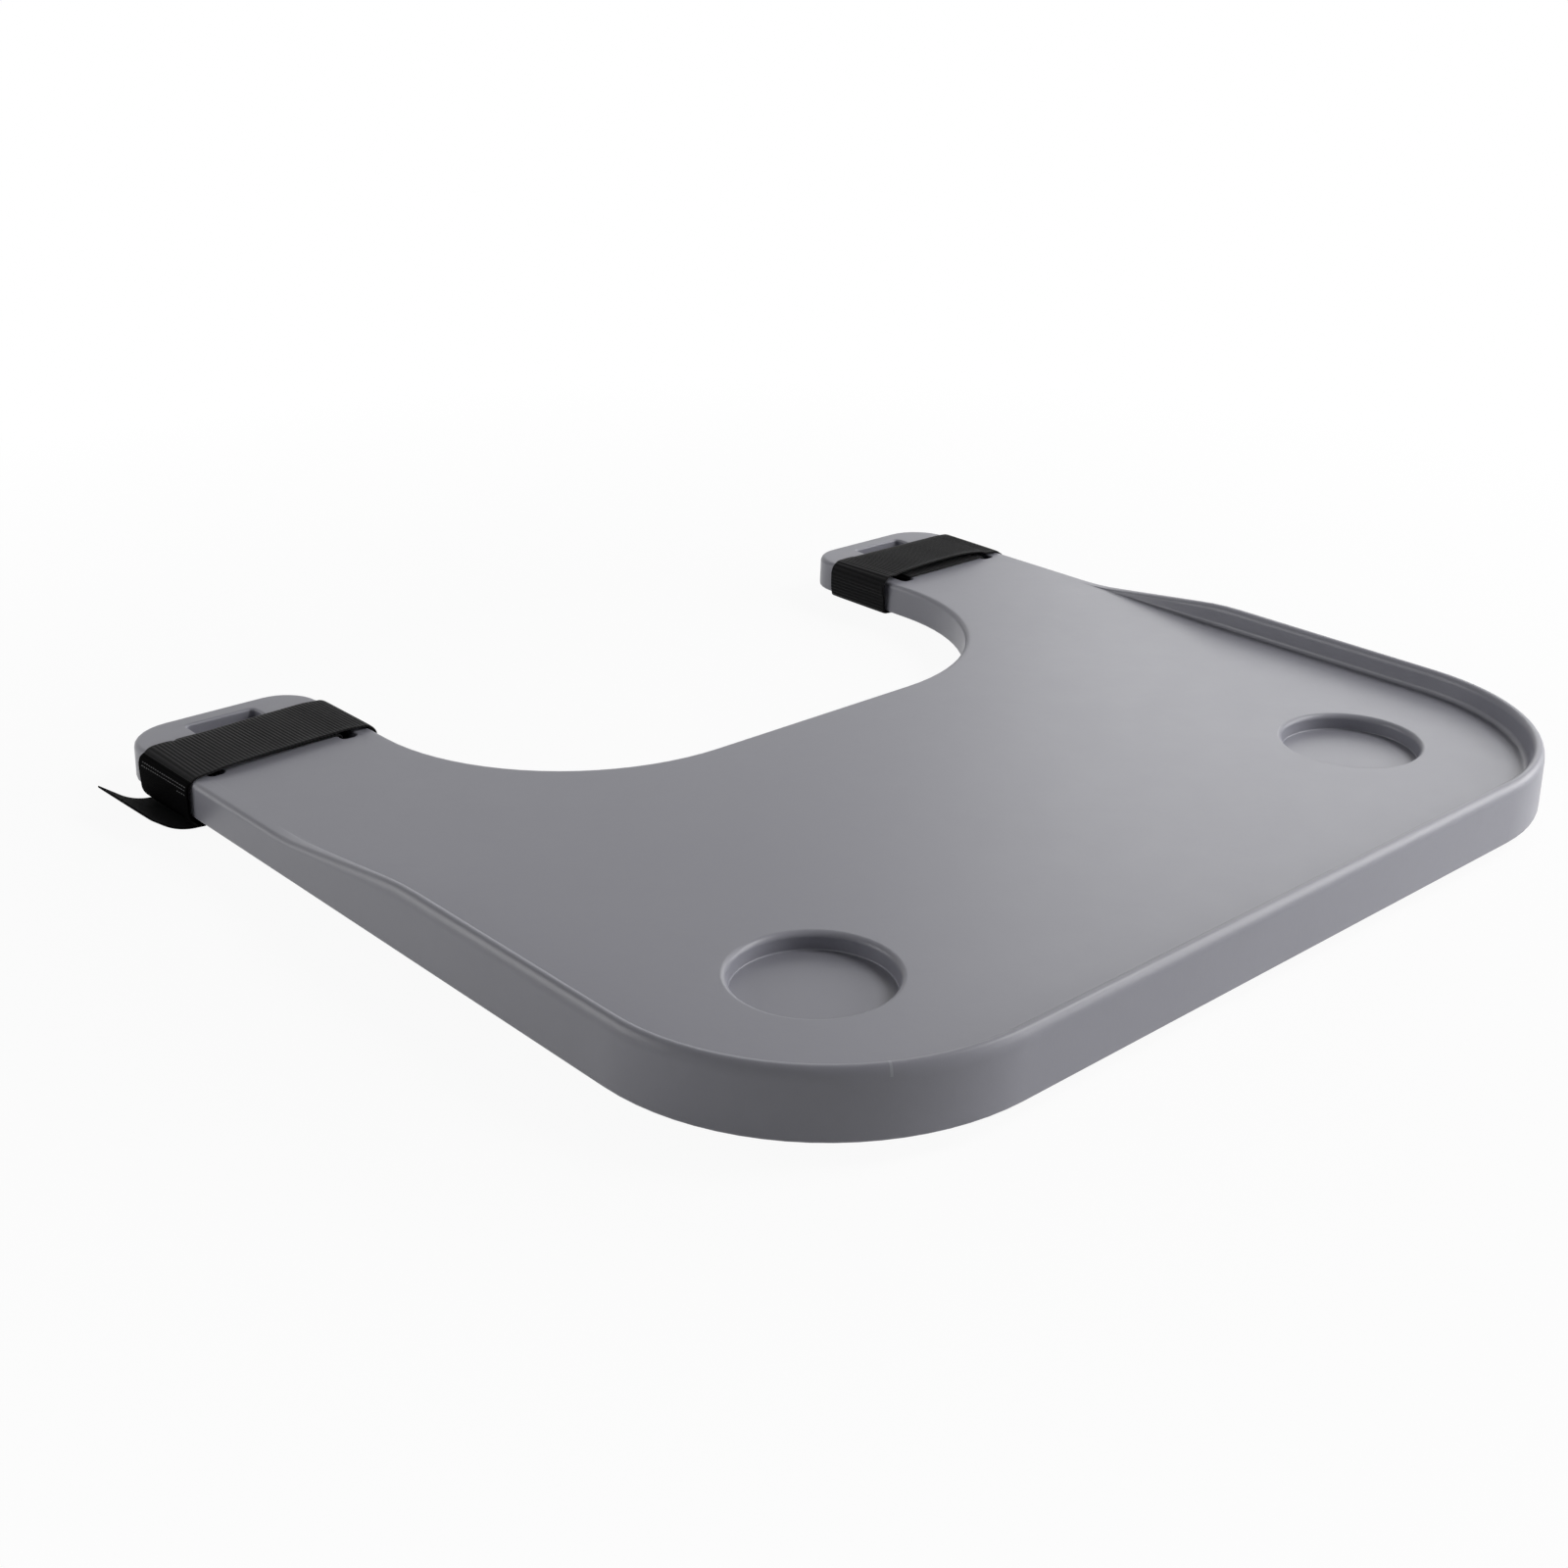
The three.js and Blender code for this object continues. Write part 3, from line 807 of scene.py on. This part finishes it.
@dataclass
class Strap:
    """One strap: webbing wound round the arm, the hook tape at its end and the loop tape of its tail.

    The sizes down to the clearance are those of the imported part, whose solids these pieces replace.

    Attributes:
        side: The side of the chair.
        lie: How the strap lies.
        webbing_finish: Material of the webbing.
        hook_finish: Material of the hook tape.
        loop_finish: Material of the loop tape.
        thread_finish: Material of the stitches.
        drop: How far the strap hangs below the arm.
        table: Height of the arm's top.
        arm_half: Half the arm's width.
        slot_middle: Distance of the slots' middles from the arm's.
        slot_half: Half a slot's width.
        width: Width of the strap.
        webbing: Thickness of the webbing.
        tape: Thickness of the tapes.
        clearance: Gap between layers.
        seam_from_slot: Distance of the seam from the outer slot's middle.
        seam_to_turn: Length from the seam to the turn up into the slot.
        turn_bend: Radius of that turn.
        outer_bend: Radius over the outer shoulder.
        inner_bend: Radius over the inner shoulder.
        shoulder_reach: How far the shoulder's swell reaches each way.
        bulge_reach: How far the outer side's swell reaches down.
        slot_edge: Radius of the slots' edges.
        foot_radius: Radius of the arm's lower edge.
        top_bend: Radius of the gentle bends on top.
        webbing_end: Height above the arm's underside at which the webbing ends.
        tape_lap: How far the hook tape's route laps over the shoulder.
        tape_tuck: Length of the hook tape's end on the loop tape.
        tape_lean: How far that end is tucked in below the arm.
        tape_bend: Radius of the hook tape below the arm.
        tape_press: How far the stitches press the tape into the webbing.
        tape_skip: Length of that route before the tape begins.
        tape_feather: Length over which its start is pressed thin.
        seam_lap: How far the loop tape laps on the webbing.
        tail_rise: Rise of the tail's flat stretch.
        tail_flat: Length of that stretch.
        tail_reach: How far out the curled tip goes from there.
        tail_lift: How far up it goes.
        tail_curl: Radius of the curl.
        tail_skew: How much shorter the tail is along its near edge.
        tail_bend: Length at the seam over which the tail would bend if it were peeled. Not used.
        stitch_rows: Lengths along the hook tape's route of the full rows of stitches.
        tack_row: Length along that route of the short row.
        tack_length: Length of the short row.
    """

    side: Side
    lie: StrapLie
    webbing_finish: Material
    hook_finish: Material
    loop_finish: Material
    thread_finish: Material
    drop: float = 9.1 * MM
    table: float = 28.6 * MM
    arm_half: float = 53.6 * MM
    slot_middle: float = 38 * MM
    slot_half: float = 4 * MM
    width: float = 49 * MM
    webbing: float = 1.3 * MM
    tape: float = 1.1 * MM
    clearance: float = 0.3 * MM
    seam_from_slot: float = 5 * MM
    seam_to_turn: float = 6.5 * MM
    turn_bend: float = 3 * MM
    outer_bend: float = 7.4 * MM
    inner_bend: float = 6.6 * MM
    shoulder_reach: float = 9 * MM
    bulge_reach: float = 27 * MM
    slot_edge: float = 1.5 * MM
    foot_radius: float = 1.2 * MM
    top_bend: float = 30 * MM
    webbing_end: float = 12.5 * MM
    tape_lap: float = 8.5 * MM
    tape_tuck: float = 5 * MM
    tape_lean: float = 5.5 * MM
    tape_bend: float = 8 * MM
    tape_press: float = 0.45 * MM
    tape_skip: float = 7 * MM
    tape_feather: float = 2.5 * MM
    seam_lap: float = 5 * MM
    tail_rise: float = 1.5 * MM
    tail_flat: float = 17 * MM
    tail_reach: float = 17.7 * MM
    tail_lift: float = 13.4 * MM
    tail_curl: float = 32 * MM
    tail_skew: float = 6.4 * MM
    tail_bend: float = 7 * MM
    stitch_rows: tuple[float, ...] = (10.4 * MM, 12 * MM)
    tack_row: float = 14.4 * MM
    tack_length: float = 11 * MM

    def __post_init__(self) -> None:
        """Works out the heights and places that the pieces share."""
        self.lay = self.clearance + self.webbing / 2
        self.side_lay = self.arm_half + self.lay
        self.inner_layer = self.table + self.lay
        self.outer_layer = self.inner_layer + self.webbing + self.clearance
        self.seam = self.slot_middle + self.seam_from_slot
        self.on_webbing = (self.webbing + self.tape) / 2 + self.clearance - self.tape_press
        self.inner_out = -self.side_lay - self.lie.inner_slack
        self.outer_out = self.side_lay + self.lie.outer_slack

    def webbing_route(self) -> Route:
        """Lays out the webbing.

        Returns:
            Its route, from its seam below the outer slot to its sewn end.
        """
        inner = self.slot_middle - self.slot_half
        outer = self.slot_middle + self.slot_half
        bend = self.slot_edge + self.lay
        low = self.drop - self.lay
        lie = self.lie
        return Route([
            Corner(self.seam, self.webbing / 2, 0, lie.tail),
            Corner(self.seam - self.seam_to_turn, self.webbing / 2, self.turn_bend, lie.slots),
            Corner(inner + self.lay, self.inner_layer, bend, lie.slots),
            Corner(-inner - self.lay, self.inner_layer, bend, lie.slots),
            Corner(self.lay - outer, low, bend, lie.slots),
            Corner(self.inner_out, low, self.foot_radius + self.lay, lie.inner_side),
            Corner(self.inner_out, self.inner_layer, self.inner_bend, lie.inner_side),
            Corner(-self.slot_middle, self.outer_layer, self.top_bend, lie.inner_side),
            Corner(self.slot_middle, self.outer_layer, self.top_bend, lie.outer_side),
            Corner(self.outer_out, self.inner_layer, self.outer_bend, lie.outer_side),
            Corner(self.outer_out, self.drop + self.webbing_end, 0, lie.outer_side),
        ])

    def webbing_swells(self, route: Route) -> tuple[Swell, ...]:
        """Swells of the webbing where it stands off the arm.

        Args:
            route: The webbing's route.

        Returns:
            The swells of the inner side, its shoulder, the outer layer on top and the outer side.
        """
        foot, shoulder, rise, fall, crest = route.marks[5:10]
        peak = rise + self.lie.top_peak + self.slot_middle
        reach = self.shoulder_reach
        return (
            Swell(foot, (foot + shoulder) / 2, rise, *self.lie.inner_bulge),
            Swell(shoulder - reach, shoulder, shoulder + reach, self.lie.inner_shoulder, 0),
            Swell(shoulder, peak, fall, *self.lie.top_bulge),
            Swell(fall, crest, crest + self.bulge_reach, 0, self.lie.outer_bulge),
        )

    def hook_route(self) -> Route:
        """Lays out the hook tape.

        Returns:
            Its route, from its lap over the webbing to its end on the loop tape.
        """
        out = self.outer_out + self.on_webbing
        top = self.inner_layer + self.on_webbing
        slope = (self.outer_layer - self.inner_layer) / (self.outer_out - self.slot_middle)
        tuck = out - self.tape_lean - self.lie.outer_slack
        rise = self.tail_rise / self.tail_flat
        low = self.tape * 1.5 + self.clearance
        bend = self.outer_bend + self.on_webbing
        lie = self.lie
        return Route([
            Corner(out - self.tape_lap, top + self.tape_lap * slope, 0, lie.outer_side),
            Corner(out, top, bend, lie.outer_side),
            Corner(out, self.drop, self.tape_bend, lie.outer_side),
            Corner(tuck, low + (tuck - self.seam) * rise, self.tape, lie.tuck),
            Corner(tuck - self.tape_tuck, low + (tuck - self.tape_tuck - self.seam) * rise, 0, lie.tuck),
        ])

    def loop_route(self) -> Route:
        """Lays out the loop tape.

        Returns:
            Its route, from its seam out to the tip of the free tail.
        """
        start = self.tape / 2
        lapped = self.webbing + start
        out = self.seam + self.tail_flat
        return Route([
            Corner(self.seam - self.seam_lap, lapped, 0, self.lie.tail),
            Corner(self.seam - self.tape / 2, lapped, self.tape, self.lie.tail),
            Corner(self.seam + self.tape * 2, start + self.tail_rise / 8, self.tape, self.lie.tail),
            Corner(out, start + self.tail_rise, self.tail_curl, self.lie.tail),
            Corner(out + self.tail_reach, start + self.tail_rise + self.tail_lift, 0, self.lie.tail),
        ])

    def build(self) -> list[Object]:
        """Builds the strap's pieces, and rides the webbing, the hook tape and the stitches on the tray's
        body.

        Returns:
            The webbing, the hook tape, the loop tape and the stitches.
        """
        word = self.side.word
        route = self.webbing_route()
        swells = self.webbing_swells(route)
        webbing = Strip(
            route, self.side, self.width, self.webbing, Ribs.CROSS, swells=swells, step=0.00035
        )
        over = self.hook_route()
        start = route.marks[8] - route.marks[9] + over.marks[1]
        lifted = Swell(start, over.marks[1], over.marks[1] + self.bulge_reach, 0, self.lie.outer_bulge)
        hook = Strip(
            over, self.side, self.width, self.tape, swells=(lifted,),
            skip=self.tape_skip, feather=self.tape_feather,
        )
        loop = Strip(self.loop_route(), self.side, self.width, self.tape, skew=self.tail_skew)
        made = [
            self._piece(
                f"{word}_webbing", webbing, self.webbing_finish, f"{word}_strap_webbing"
            ),
            self._piece(f"{word}_hooks", hook, self.hook_finish, f"{word}_hook_tape"),
            self._piece(f"{word}_tail", loop, self.loop_finish, f"{word}_loop_tape"),
        ]
        stitches = self._stitches(hook)
        for piece in (made[0], made[1], stitches):
            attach(piece, "tray")
        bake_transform(made[2])
        return [*made, stitches]

    def _piece(self, name: str, strip: Strip, finish: Material, node: str) -> Object:
        """Makes one strip of the strap.

        Args:
            name: The piece's name.
            strip: Its shape.
            finish: Its material.
            node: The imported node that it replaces.

        Returns:
            The object.
        """
        made = finished(name, strip.mesh(), finish)
        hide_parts(node)
        return made

    def _stitches(self, hook: Strip) -> Object:
        """Sews the rows that hold the hook tape to the webbing.

        Args:
            hook: The hook tape.

        Returns:
            The stitches.
        """
        bm = bmesh.new()
        for along in self.stitch_rows:
            StitchRow(hook, along).add_to(bm)
        short = self.width - self.tack_length
        StitchRow(hook, self.tack_row, far_margin=short).add_to(bm)
        bm.verts.index_update()
        bm.faces.sort(key=lambda face: rank(face, len(bm.verts)))
        made = finished(f"{self.side.word}_hook_stitches", bm, self.thread_finish)
        return made


# Stage


@dataclass
class Lamp:
    """A softbox.

    Attributes:
        name: Its name.
        azimuth: Where it stands, in degrees: 0 is at -Y and 90 at +X.
        elevation: How high, in degrees.
        distance: How far from the table's middle.
        width: Its width.
        height: Its height.
        power: Its power in watts.
    """

    name: str
    azimuth: float
    elevation: float
    distance: float
    width: float
    height: float
    power: float

    def build(self) -> Object:
        """Builds the lamp, facing the table.

        Returns:
            The lamp.
        """
        a, e = math.radians(self.azimuth), math.radians(self.elevation)
        back = Vector((math.sin(a) * math.cos(e), -math.cos(a) * math.cos(e), math.sin(e)))
        data = bpy.data.lights.new(self.name, "AREA")
        data.shape = "RECTANGLE"
        data.size, data.size_y = self.width, self.height
        data.energy = self.power
        lamp = bpy.data.objects.new(self.name, data)
        facing = back.to_track_quat("Z", "Y").to_matrix().to_4x4()
        lamp.matrix_world = Matrix.Translation(back * self.distance) @ facing
        bpy.context.scene.collection.objects.link(lamp)
        return lamp


@dataclass
class Studio:
    """Floor, world, lamps and camera.

    Attributes:
        lamps: The softboxes.
        ambient: Strength of the world's light on the object.
        floor_glow: Share of the floor that shows as plain white near the object.
        floor_fade: Distances from the middle between which that share rises to 1.
        floor_half: Half the floor's side.
        floor_depth: How far the floor lies below the straps.
        floor_tone: Its colour's value.
        azimuth: Where the camera stands, in degrees.
        elevation: How high, in degrees.
        roll: Its roll, in degrees.
        distance: Its distance from the target.
        target: The point that it turns about.
        focal: Its focal length in pixels of the photograph.
        sensor: Width of its sensor in millimetres.
        sight: How far it sees.
        axis: Pixel of the photograph that its axis goes through.
    """

    lamps: list[Lamp] = field(default_factory=lambda: [
        Lamp("right_high_softbox", 52, 45, 2.2, 0.8, 0.8, 20),
        Lamp("right_low_softbox", 60, 12, 2.2, 1.3, 1.3, 21),
        Lamp("front_right_softbox", 36, 12, 2.2, 1.3, 1.3, 12),
        Lamp("left_softbox", 234, 12, 2.2, 1.3, 1.3, 14),
        Lamp("back_softbox", 112, 28, 2.2, 1.3, 1.3, 8),
    ])
    ambient: float = 0.01
    floor_glow: float = 0.94
    floor_fade: tuple[float, float] = (0.4, 1)
    floor_half: float = 6
    floor_depth: float = 0.0004
    floor_tone: float = 0.9
    azimuth: float = -44.2495
    elevation: float = 22.1366
    roll: float = 1.4746
    distance: float = 1.190117
    target: Point = (0.0398775, 0.0563987, 0.0091)
    focal: float = 2142.387
    sensor: float = 36
    sight: float = 50
    axis: tuple[float, float] = (877.697, 742.282)

    def build(self) -> None:
        """Builds the whole stage."""
        self._world()
        self._floor()
        for lamp in self.lamps:
            lamp.build()
        self._camera()
        bpy.context.scene.view_settings.view_transform = "Standard"

    @staticmethod
    def _seen(tree: bpy.types.NodeTree) -> Socket:
        """Tells the rays that are seen from those that light.

        Args:
            tree: The node tree.

        Returns:
            A socket that is 1 for rays from the camera, from gloss and through glass.
        """
        ray = tree.nodes.new("ShaderNodeLightPath")
        seen = ray.outputs["Is Camera Ray"]
        for other in ("Is Glossy Ray", "Is Transmission Ray"):
            either = tree.nodes.new("ShaderNodeMath")
            either.operation = "MAXIMUM"
            tree.links.new(seen, either.inputs[0])
            tree.links.new(ray.outputs[other], either.inputs[1])
            seen = either.outputs[0]
        return seen

    def _world(self) -> None:
        """World that is white to the eye and in gloss, and a dim even light on the object."""
        world = bpy.data.worlds.new("studio")
        world.use_nodes = True
        tree = world.node_tree
        shade = tree.nodes["Background"]
        strength = tree.nodes.new("ShaderNodeMapRange")
        strength.inputs["To Min"].default_value = self.ambient
        strength.inputs["To Max"].default_value = 1
        tree.links.new(self._seen(tree), strength.inputs["Value"])
        tree.links.new(strength.outputs[0], shade.inputs["Strength"])
        shade.inputs["Color"].default_value = (1, 1, 1, 1)
        bpy.context.scene.world = world

    def _floor(self) -> None:
        """Plain white floor that still takes the object's shadow."""
        bm = bmesh.new()
        bmesh.ops.create_grid(bm, x_segments=1, y_segments=1, size=self.floor_half)
        bmesh.ops.translate(bm, vec=(0, 0, -self.floor_depth), verts=bm.verts)
        mesh = bpy.data.meshes.new("floor")
        bm.to_mesh(mesh)
        bm.free()
        mesh.materials.append(self._floor_material())
        floor = bpy.data.objects.new("floor", mesh)
        bpy.context.scene.collection.objects.link(floor)

    def _floor_material(self) -> Material:
        """Paints the floor.

        Returns:
            A matt white that is lit near the object and fades to plain white far from it.
        """
        material = bpy.data.materials.new("floor_white")
        material.use_nodes = True
        tree = material.node_tree
        shade = tree.nodes["Principled BSDF"]
        shade.inputs["Base Color"].default_value = (*[self.floor_tone] * 3, 1)
        shade.inputs["Roughness"].default_value = 1
        shade.inputs["Specular IOR Level"].default_value = 0
        glow = tree.nodes.new("ShaderNodeEmission")
        away = tree.nodes.new("ShaderNodeVectorMath")
        away.operation = "LENGTH"
        tree.links.new(tree.nodes.new("ShaderNodeTexCoord").outputs["Object"], away.inputs[0])
        fade = tree.nodes.new("ShaderNodeMapRange")
        fade.inputs["From Min"].default_value = self.floor_fade[0]
        fade.inputs["From Max"].default_value = self.floor_fade[1]
        fade.inputs["To Min"].default_value = self.floor_glow
        fade.inputs["To Max"].default_value = 1
        tree.links.new(away.outputs["Value"], fade.inputs["Value"])
        share = tree.nodes.new("ShaderNodeMath")
        share.operation = "MULTIPLY"
        tree.links.new(self._seen(tree), share.inputs[0])
        tree.links.new(fade.outputs[0], share.inputs[1])
        blend = tree.nodes.new("ShaderNodeMixShader")
        tree.links.new(share.outputs[0], blend.inputs[0])
        tree.links.new(shade.outputs[0], blend.inputs[1])
        tree.links.new(glow.outputs[0], blend.inputs[2])
        tree.links.new(blend.outputs[0], tree.nodes["Material Output"].inputs["Surface"])
        return material

    def _camera(self) -> None:
        """Camera at the photograph's viewing angle."""
        a, e, r = (math.radians(x) for x in (self.azimuth, self.elevation, self.roll))
        back = Vector((math.sin(a) * math.cos(e), -math.cos(a) * math.cos(e), math.sin(e)))
        level = Vector((math.cos(a), math.sin(a), 0))
        upright = back.cross(level)
        right = math.cos(r) * level + math.sin(r) * upright
        up = math.cos(r) * upright - math.sin(r) * level
        data = bpy.data.cameras.new("camera")
        data.sensor_width = self.sensor
        data.lens = data.sensor_width * self.focal / PHOTO_SIDE
        data.shift_x = (PHOTO_SIDE / 2 - self.axis[0]) / PHOTO_SIDE
        data.shift_y = (self.axis[1] - PHOTO_SIDE / 2) / PHOTO_SIDE
        data.clip_end = self.sight
        camera = bpy.data.objects.new("camera", data)
        turn = Matrix((right, up, back)).transposed().to_4x4()
        camera.matrix_world = Matrix.Translation(Vector(self.target) + back * self.distance) @ turn
        bpy.context.scene.collection.objects.link(camera)
        bpy.context.scene.camera = camera


def main() -> None:
    """Builds the tray, the straps and the studio, and logs each piece's count of faces."""
    logging.basicConfig(level=logging.INFO, format="%(message)s")
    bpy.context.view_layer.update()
    # Each tape's dark colour is painted shade between its yarns.
    webbing = WovenTape(
        "ribbed_webbing", light=linear(29, 29, 31), dark=linear(1, 1, 1),
        along=0.00212, across=0.0011, depth=0.00012, roughness=0.6, sheen=0.11,
    ).material()
    hooks = WovenTape(
        "hook_tape", light=linear(9, 9, 10), dark=linear(2, 2, 2),
        along=0.0014, across=0.0012, depth=0.00015, roughness=0.7, sheen=0, gloss=0.01,
    ).material()
    loops = WovenTape(
        "loop_tape", light=linear(22, 22, 24), dark=linear(6, 6, 7),
        along=0.0009, across=0.0009, depth=0.0002, roughness=0.8, sheen=0.02,
    ).material()
    thread = Thread().material()
    left = StrapLie(
        slots=4.4 * MM, inner_side=3.4 * MM, outer_side=-0.8 * MM, tuck=2 * MM, tail=4.5 * MM,
        inner_slack=0.8 * MM, outer_slack=0.1 * MM, outer_bulge=1.6 * MM,
        inner_bulge=(0.5 * MM, 0.5 * MM), inner_shoulder=0,
        top_bulge=(0.8 * MM, 0.2 * MM), top_peak=8 * MM,
    )
    right = StrapLie(
        slots=1.6 * MM, inner_side=4.2 * MM, outer_side=3 * MM, tuck=2 * MM, tail=1.6 * MM,
        inner_slack=1.6 * MM, outer_slack=0.4 * MM, outer_bulge=0.4 * MM,
        inner_bulge=(0.3 * MM, 1.8 * MM), inner_shoulder=1.4 * MM,
        top_bulge=(3.8 * MM, 0), top_peak=5 * MM,
    )
    parts = [
        TrayMoulding(),
        Strap(Side.LEFT, left, webbing, hooks, loops, thread),
        Strap(Side.RIGHT, right, webbing, hooks, loops, thread),
    ]
    for part in parts:
        for made in part.build():
            log.info("%s: %d faces", made.name, len(made.data.polygons))
    Studio().build()


if __name__ == "__main__":
    main()
